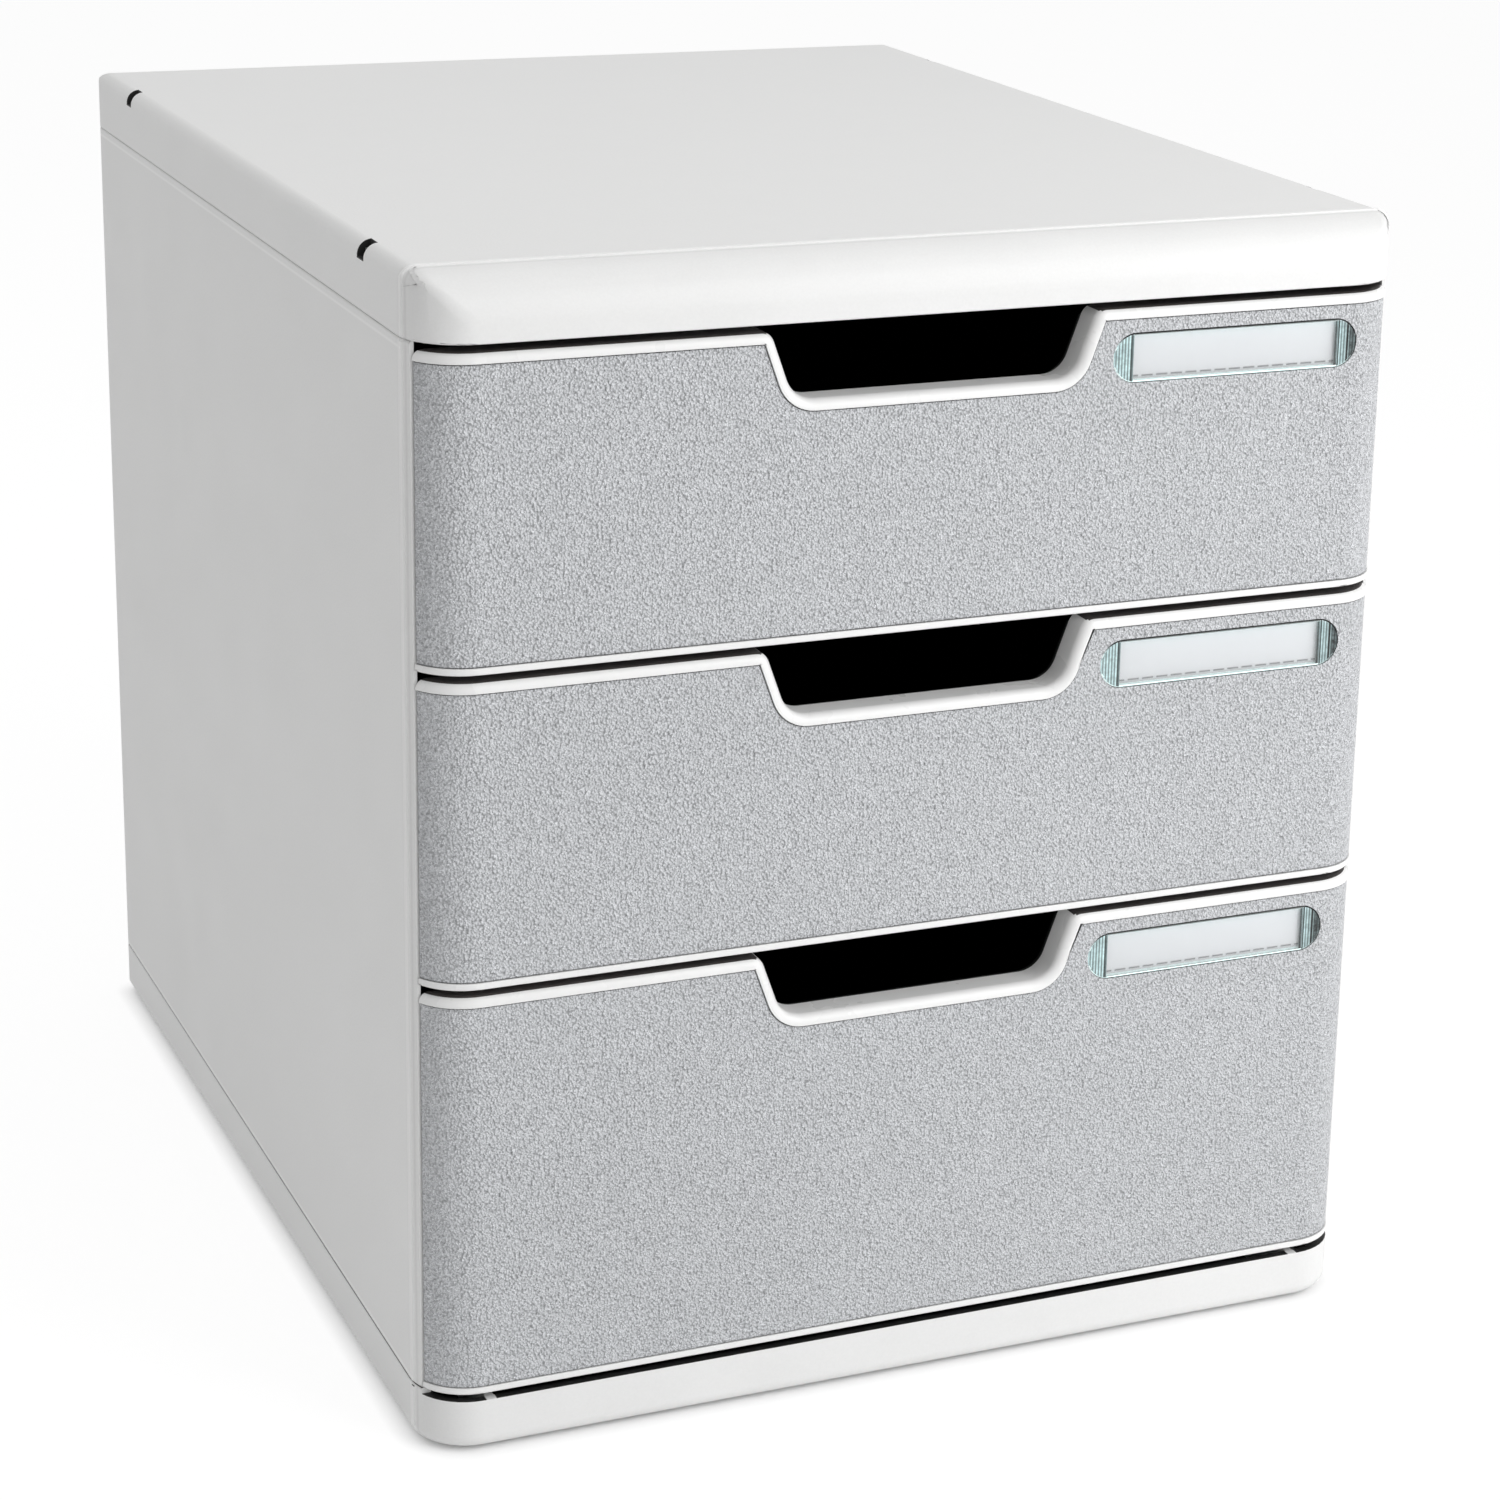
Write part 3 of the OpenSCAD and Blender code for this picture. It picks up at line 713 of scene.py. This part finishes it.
class FILEDRAWER_OT_drawers(bpy.types.Operator):
    """Finish the drawers' trays and plates and model their bezels"""

    bl_idname = "filedrawer.drawers"
    bl_label = "Drawers"

    def execute(self, context):
        plastics = context.scene.filedrawer_plastics
        shapes = context.scene.filedrawer_shapes
        tray = tray_finish("tray_plastic", plastics.tray_colour)
        # Painted shade: the bezels' top flange behind the lips gets a dark finish for the shade under the
        # cover
        flange_shade = tray_finish("flange_painted_shade", plastics.flange_shade_colour)
        rim, plate = rim_finish(plastics), plate_finish(plastics)
        for level in LEVELS:
            dress(level + "_drawer_tray", tray, shapes.edge_rounding)
            dress(level + "_drawer_plate", plate, shapes.edge_rounding)
            self.bezel(level, rim, flange_shade, shapes)
        return {"FINISHED"}

    def bezel(self, level, rim, flange_shade, shapes):
        """A drawer's bezel, whose top edge and cut-out are rounded over the whole width of the rim."""
        node = level + "_drawer_bezel"
        low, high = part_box(node)
        bezel = remodel(node, level + "_bezel")

        def on_rim(middle, front, top):
            # Between the upright front and what looks upwards behind it, in the bezel's upper half
            upright = abs(front.z) < 0.05 and front.y < -0.3
            return upright and top.z > 0.3 and abs(top.y) < 0.05 and middle.z > (low.z + high.z) / 2

        select_edges(bezel, on_rim)
        bpy.ops.mesh.bevel(offset=shapes.rim_rounding, segments=6, profile=0.5, clamp_overlap=False)

        def choose(face):
            # Painted shade: the dark flange finish goes from the rounding's two upper bands to the back
            near_top = face.center.z > high.z - shapes.rim_rounding / 5
            return 1 if near_top and face.normal.z > UPPER_BANDS else 0

        complete(bezel, [rim, flange_shade], choose, shapes.edge_rounding, level + "_drawer", node)


class FILEDRAWER_OT_labels(bpy.types.Operator):
    """Model the label windows and finish their cards"""

    bl_idname = "filedrawer.labels"
    bl_label = "Labels"

    def slab(self, low, high, label):
        """The window's body: a flat stadium with a bevelled front edge, cut where its finishes meet."""
        height = high.z - low.z
        middle = (low + high) / 2
        spread = (high.x - low.x - height) / 2
        deselect_all()
        bpy.ops.mesh.primitive_cylinder_add(
            vertices=WINDOW_CORNERS, radius=height / 2, depth=high.y - low.y, location=middle,
            rotation=(pi / 2, 0, 0))
        body = bpy.context.object
        settle(body, "window_body")
        edit_all()
        bpy.ops.transform.rotate(value=pi / WINDOW_CORNERS, orient_axis="Y", center_override=middle)
        for side in (-1, 1):
            select_only(body, "VERT", lambda edited: edited.verts,
                        lambda vertex: 0 < (vertex.co.x - middle.x) * side <= height / 2)
            bpy.ops.transform.translate(value=(side * spread, 0, 0))
        select_edges(body, lambda place, front, rim: front.y < -0.9 and abs(rim.y) < 0.1)
        bpy.ops.mesh.bevel(offset=label.edge_width, segments=3, profile=0.5)
        inset = label.edge_width + label.strip_width
        cuts = [((middle.x + side * (label.card_length / 2 + groove), 0, 0), (1, 0, 0))
                for groove in (0, label.groove_width) for side in (-1, 1)]
        cuts += [((0, 0, strip), (0, 0, 1)) for strip in (low.z + inset, high.z - inset)]
        for place, normal in cuts:
            bpy.ops.mesh.select_all(action="SELECT")
            bpy.ops.mesh.bisect(plane_co=place, plane_no=normal)
        bpy.ops.object.mode_set(mode="OBJECT")
        return body, middle, spread, height

    def ribs(self, low, label, middle, spread, height):
        """Half round bars across both ends of the window."""
        made = []
        first = label.card_length / 2 + label.groove_width + label.rib_pitch / 2
        for side in (-1, 1):
            for i in range(label.rib_count):
                out = first + i * label.rib_pitch
                from_arc = max(out - spread, 0)
                reach = sqrt(max((height / 2) ** 2 - from_arc ** 2, 0)) - label.edge_width
                if reach <= label.rib_radius:
                    continue
                deselect_all()
                centre = (middle.x + side * out, low.y + label.rib_radius * GRIP_FLATNESS, middle.z)
                bpy.ops.mesh.primitive_cylinder_add(
                    vertices=GRIP_CORNERS, radius=label.rib_radius, depth=2 * reach, location=centre)
                rib = bpy.context.object
                settle(rib, "window_rib")
                edit_all()
                bpy.ops.transform.resize(value=(1, GRIP_FLATNESS, 1), center_override=centre)
                select_edges(rib, lambda place, end, round_side: abs(end.z) > 0.9 and abs(round_side.z) < 0.1)
                bpy.ops.mesh.bevel(offset=label.rib_radius * GRIP_ROUNDING, segments=2)
                bpy.ops.object.mode_set(mode="OBJECT")
                made.append(rib)
        return made

    def window(self, context, level, finishes, label):
        """One label window: its body and its grip ribs, joined and painted."""
        node = level + "_drawer_label_window"
        low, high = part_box(node)
        body, middle, spread, height = self.slab(low, high, label)
        strip = height / 2 - label.edge_width - label.strip_width

        def choose(face):
            # 0 is the clear middle, 1 the edges and the strips inside them, which get the edge finish's
            # painted light, 2 the ribbed ends
            if abs(face.normal.y) < 0.95:
                return 1
            if abs(face.center.x - middle.x) > label.card_length / 2:
                return 2
            return 1 if abs(face.center.z - middle.z) > strip else 0

        paint(body, finishes, choose)
        ribs = self.ribs(low, label, middle, spread, height)
        deselect_all()
        for piece in ribs:
            paint(piece, finishes, lambda face: 2)
        for piece in [*ribs, body]:
            piece.select_set(True)
        context.view_layer.objects.active = body
        bpy.ops.object.join()
        settle(body, level + "_label_window")
        bpy.ops.object.shade_smooth_by_angle(angle=WINDOW_SMOOTH)
        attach(body, level + "_drawer")
        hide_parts(node)

    def execute(self, context):
        label = context.scene.filedrawer_label
        finishes = clear_finish(label), edge_finish(label), ribbed_finish(label)
        card = card_finish(label)
        for level in LEVELS:
            self.window(context, level, finishes, label)
            dress(level + "_drawer_label_card", card)
        return {"FINISHED"}


class FILEDRAWER_OT_studio(bpy.types.Operator):
    """Set up the floor, the soft studio light and the camera"""

    bl_idname = "filedrawer.studio"
    bl_label = "Studio"

    def lamp(self, context, name, power):
        place, aim, width = LAMPS[name]
        data = bpy.data.lights.new(name, "AREA")
        data.size = width
        data.energy = power
        lamp = bpy.data.objects.new(name, data)
        context.scene.collection.objects.link(lamp)
        lamp.location = place
        lamp.rotation_euler = (Vector(aim) - Vector(place)).to_track_quat("-Z", "Y").to_euler()
        return lamp

    def seen(self, tree):
        """1 for what the camera sees straight, in a reflection or through the windows."""
        rays = add_node(tree, "ShaderNodeLightPath").outputs
        value = rays["Is Camera Ray"]
        for ray in ("Is Glossy Ray", "Is Transmission Ray"):
            value = add_node(tree, "ShaderNodeMath", {0: value, 1: rays[ray]}, operation="MAXIMUM").outputs[0]
        return value

    def floor(self, context, studio):
        deselect_all()
        bpy.ops.mesh.primitive_plane_add(size=FLOOR_SIZE, location=(0, 0, 0))
        floor = context.object
        floor.name = "floor"
        material = bpy.data.materials.new("floor_pale")
        material.use_nodes = True
        tree = material.node_tree
        shader = tree.nodes["Principled BSDF"]
        shader.inputs["Base Color"].default_value = FLOOR_GREY
        shader.inputs["Roughness"].default_value = 0.7
        shader.inputs["Specular IOR Level"].default_value = 0.1
        white = add_node(tree, "ShaderNodeEmission", {"Color": WHITE, "Strength": studio.floor_white})
        # Close under the object the floor shows its own shading, so that the shadow gap stays dark
        share = 1 - studio.floor_shade
        for part in (open_share(tree, studio.contact), self.seen(tree)):
            share = add_node(tree, "ShaderNodeMath", {0: part, 1: share}, operation="MULTIPLY").outputs[0]
        mix = add_node(tree, "ShaderNodeMixShader", {"Fac": share, 1: shader.outputs[0], 2: white.outputs[0]})
        tree.links.new(mix.outputs[0], tree.nodes["Material Output"].inputs["Surface"])
        floor.data.materials.append(material)

    def world(self, context, studio):
        world = bpy.data.worlds.new("studio")
        context.scene.world = world
        world.use_nodes = True
        tree = world.node_tree
        even = tree.nodes["Background"]
        even.inputs["Color"].default_value = WHITE
        even.inputs["Strength"].default_value = studio.ambient
        backdrop = add_node(tree, "ShaderNodeBackground", {"Color": WHITE})
        mix = add_node(tree, "ShaderNodeMixShader", {
            "Fac": self.seen(tree), 1: even.outputs[0], 2: backdrop.outputs[0]})
        tree.links.new(mix.outputs[0], tree.nodes["World Output"].inputs["Surface"])

    def camera(self, context, studio):
        data = bpy.data.cameras.new("camera")
        camera = bpy.data.objects.new("camera", data)
        context.scene.collection.objects.link(camera)
        data.sensor_width = 36
        data.lens = studio.lens
        data.shift_x, data.shift_y = studio.shift
        azimuth, elevation, roll = studio.azimuth, studio.elevation, studio.roll
        back = Vector((sin(azimuth) * cos(elevation), -cos(azimuth) * cos(elevation), sin(elevation)))
        right = Vector((0, 0, 1)).cross(back).normalized()
        up = back.cross(right)
        turned_right = cos(roll) * right + sin(roll) * up
        turned_up = cos(roll) * up - sin(roll) * right
        turn = Matrix((turned_right, turned_up, back)).transposed()
        place = Vector(studio.target) + back * studio.distance
        camera.matrix_world = Matrix.Translation(place) @ turn.to_4x4()
        context.scene.camera = camera

    def execute(self, context):
        studio = context.scene.filedrawer_studio
        self.floor(context, studio)
        self.world(context, studio)
        self.lamp(context, "key", studio.key_power)
        self.lamp(context, "top", studio.top_power)
        # The low fill only lights: neither the camera nor a reflection shows it
        fill = self.lamp(context, "fill", studio.fill_power)
        fill.visible_camera = False
        fill.visible_glossy = False
        self.camera(context, studio)
        context.scene.view_settings.view_transform = "Standard"
        return {"FINISHED"}


OPERATORS = (FILEDRAWER_OT_casing, FILEDRAWER_OT_drawers, FILEDRAWER_OT_labels, FILEDRAWER_OT_studio)


class FILEDRAWER_PT_panel(bpy.types.Panel):
    """The drawer unit's settings and steps"""

    bl_idname = "FILEDRAWER_PT_panel"
    bl_label = "File drawer"
    bl_space_type = "VIEW_3D"
    bl_region_type = "UI"
    bl_category = "File drawer"

    def draw(self, context):
        for step in OPERATORS:
            self.layout.operator(step.bl_idname)
        for name in GROUPS:
            settings = getattr(context.scene, name)
            box = self.layout.box()
            for key in settings.__annotations__:
                box.prop(settings, key)


CLASSES = (*GROUPS.values(), *OPERATORS, FILEDRAWER_PT_panel)


def register():
    for made in CLASSES:
        bpy.utils.register_class(made)
    for name, group in GROUPS.items():
        setattr(bpy.types.Scene, name, bpy.props.PointerProperty(type=group))


def unregister():
    for name in GROUPS:
        delattr(bpy.types.Scene, name)
    for made in reversed(CLASSES):
        bpy.utils.unregister_class(made)


def main():
    register()
    bpy.ops.filedrawer.casing()
    bpy.ops.filedrawer.drawers()
    bpy.ops.filedrawer.labels()
    bpy.ops.filedrawer.studio()


if __name__ == "__main__":
    main()
